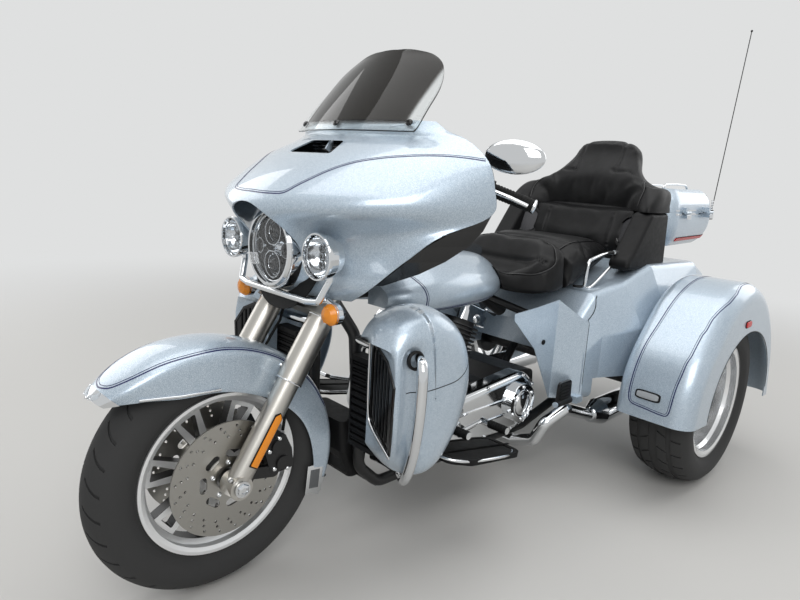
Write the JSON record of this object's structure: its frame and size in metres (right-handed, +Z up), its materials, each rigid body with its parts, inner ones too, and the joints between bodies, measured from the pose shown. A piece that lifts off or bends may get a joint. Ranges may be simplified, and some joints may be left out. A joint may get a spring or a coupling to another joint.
{
  "type": "motorized trike",
  "caption": "Touring trike with a steered front wheel, V-twin engine, handlebar fairing, twin rear wheels under wide fenders, a trunk and a top case",
  "frame": {"origin": "on the floor, midway along and across the overall box", "axes": "+X forward, +Y to the rider's left, +Z up"},
  "size_m": [2.7479, 1.39, 1.782],
  "materials": {
    "body_paint": "pale silver-blue metallic paint, clear-coated",
    "bright_chrome": "polished chrome plate",
    "satin_metal": "satin clear-coated aluminium",
    "black_metal": "satin black powder coat",
    "machined_alloy": "machined cast alloy with black pockets",
    "disc_steel": "ground stainless steel",
    "tyre_rubber": "black tyre rubber",
    "black_plastic": "textured black plastic",
    "gloss_black": "smoked gloss plastic",
    "grip_rubber": "ribbed black rubber",
    "seat_leather": "black grained upholstery",
    "smoked_glass": "dark smoked screen",
    "clear_glass": "clear lens",
    "amber_lens": "amber lens",
    "red_lens": "red lens"
  },
  "bodies": {
    "frame": {"frame_cradle": "black_metal", "engine_guard": "bright_chrome", "engine": "black_metal", "rocker_covers": "bright_chrome", "air_cleaner": "bright_chrome", "primary_cover": "bright_chrome", "exhaust": "bright_chrome", "fuel_tank": "body_paint", "tank_console": "gloss_black", "lower_fairing_left": "body_paint", "lower_fairing_right": "body_paint", "radiator_screens": "black_plastic", "chin_cover": "black_plastic", "footboards": "grip_rubber", "foot_controls": "bright_chrome", "rider_seat": "seat_leather", "pillion_seat": "seat_leather", "grab_rails": "bright_chrome", "body_shell": "body_paint", "rear_fender_left": "body_paint", "rear_fender_right": "body_paint", "rear_axle": "black_metal", "case_base": "body_paint", "backrest_lower": "seat_leather", "speaker_pods": "black_plastic", "rear_lamps": "red_lens", "antenna": "black_metal"},
    "steering": {"fork_legs": "satin_metal", "fork_crown": "satin_metal", "front_axle": "bright_chrome", "front_fender": "body_paint", "fender_trim": "bright_chrome", "brake_calipers": "black_metal", "brake_lines": "grip_rubber", "fairing_outer": "body_paint", "fairing_inner": "black_plastic", "windscreen": "smoked_glass", "wind_deflectors": "gloss_black", "headlamp_bucket": "bright_chrome", "headlamp_modules": "black_metal", "headlamp_lens": "clear_glass", "passing_lamp_lenses": "clear_glass", "front_signals": "amber_lens", "lamp_bar": "bright_chrome", "handlebar": "bright_chrome", "grips": "grip_rubber", "mirrors": "bright_chrome"},
    "front_wheel": {"front_tyre": "tyre_rubber", "front_rim": "machined_alloy", "front_discs": "disc_steel"},
    "rear_wheel_left": {"rear_tyre_left": "tyre_rubber", "rear_rim_left": "machined_alloy"},
    "rear_wheel_right": {"rear_tyre_right": "tyre_rubber", "rear_rim_right": "machined_alloy"},
    "case_lid": {"case_lid": "body_paint", "backrest_upper": "seat_leather"},
    "trunk_door": {"trunk_door": "body_paint"},
    "passenger_board_left": {"passenger_board_left": "black_metal"},
    "passenger_board_right": {"passenger_board_right": "black_metal"}
  },
  "joints": [
    {"name": "steering", "type": "hinge", "parent": "frame", "child": "steering", "pos_m": [1.154, 0, 0], "axis": [-0.4384, 0, 0.8988], "range_deg": [-30, 30]},
    {"name": "front_wheel_spin", "type": "hinge", "parent": "steering", "child": "front_wheel", "pos_m": [1.054, 0, 0.32], "axis": [0, 1, 0], "continuous": true},
    {"name": "rear_left_spin", "type": "hinge", "parent": "frame", "child": "rear_wheel_left", "pos_m": [-0.616, 0.557, 0.325], "axis": [0, 1, 0], "continuous": true},
    {"name": "rear_right_spin", "type": "hinge", "parent": "frame", "child": "rear_wheel_right", "pos_m": [-0.616, -0.557, 0.325], "axis": [0, 1, 0], "continuous": true},
    {"name": "case_lid_hinge", "type": "hinge", "parent": "frame", "child": "case_lid", "pos_m": [-0.986, 0.343, 0.9852], "axis": [-1, 0, 0], "range_deg": [0, 80]},
    {"name": "trunk_door_hinge", "type": "hinge", "parent": "frame", "child": "trunk_door", "pos_m": [-1.046, 0, 0.704], "axis": [0, 1, 0], "range_deg": [0, 80]},
    {"name": "board_left_fold", "type": "hinge", "parent": "frame", "child": "passenger_board_left", "pos_m": [-0.107, 0.313, 0.33], "axis": [-1, 0, 0], "range_deg": [0, 85]},
    {"name": "board_right_fold", "type": "hinge", "parent": "frame", "child": "passenger_board_right", "pos_m": [-0.107, -0.313, 0.33], "axis": [1, 0, 0], "range_deg": [0, 85]}
  ]
}
